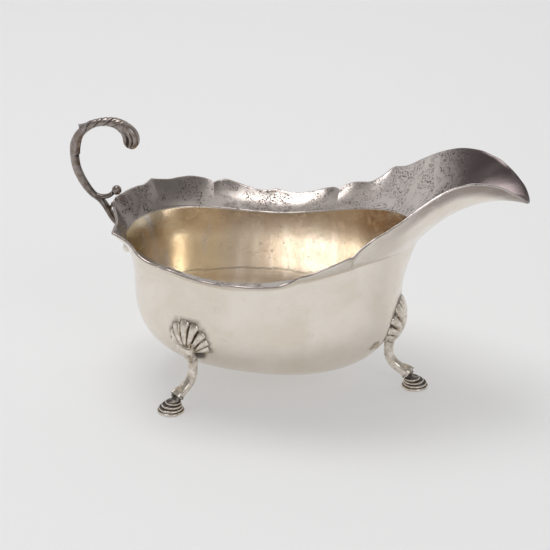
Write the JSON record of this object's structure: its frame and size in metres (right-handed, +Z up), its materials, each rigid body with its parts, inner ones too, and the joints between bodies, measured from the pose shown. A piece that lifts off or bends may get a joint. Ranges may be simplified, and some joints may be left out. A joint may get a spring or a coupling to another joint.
{
  "type": "footed sauce boat",
  "caption": "Three-legged sauce boat: raised oval bowl with a shaped flared rim, a long pouring spout and a flying scroll handle.",
  "frame": {"origin": "on the table under the middle of the overall length", "axes": "+X toward the pouring tip, +Y to the boat's left, +Z up"},
  "size_m": [0.18, 0.0988, 0.1033],
  "materials": {
    "raised_silver": "polished sheet, worn and tarnished inside",
    "cast_silver": "polished castings with dark tarnish in the recesses"
  },
  "bodies": {
    "root": {"bowl": "raised_silver", "handle_scroll": "cast_silver", "handle_leaf": "cast_silver", "handle_spur": "cast_silver", "handle_bracket": "cast_silver", "leg_front": "cast_silver", "leg_shell_front": "cast_silver", "foot_pad_front": "cast_silver", "leg_left": "cast_silver", "leg_shell_left": "cast_silver", "foot_pad_left": "cast_silver", "leg_right": "cast_silver", "leg_shell_right": "cast_silver", "foot_pad_right": "cast_silver"}
  },
  "joints": []
}
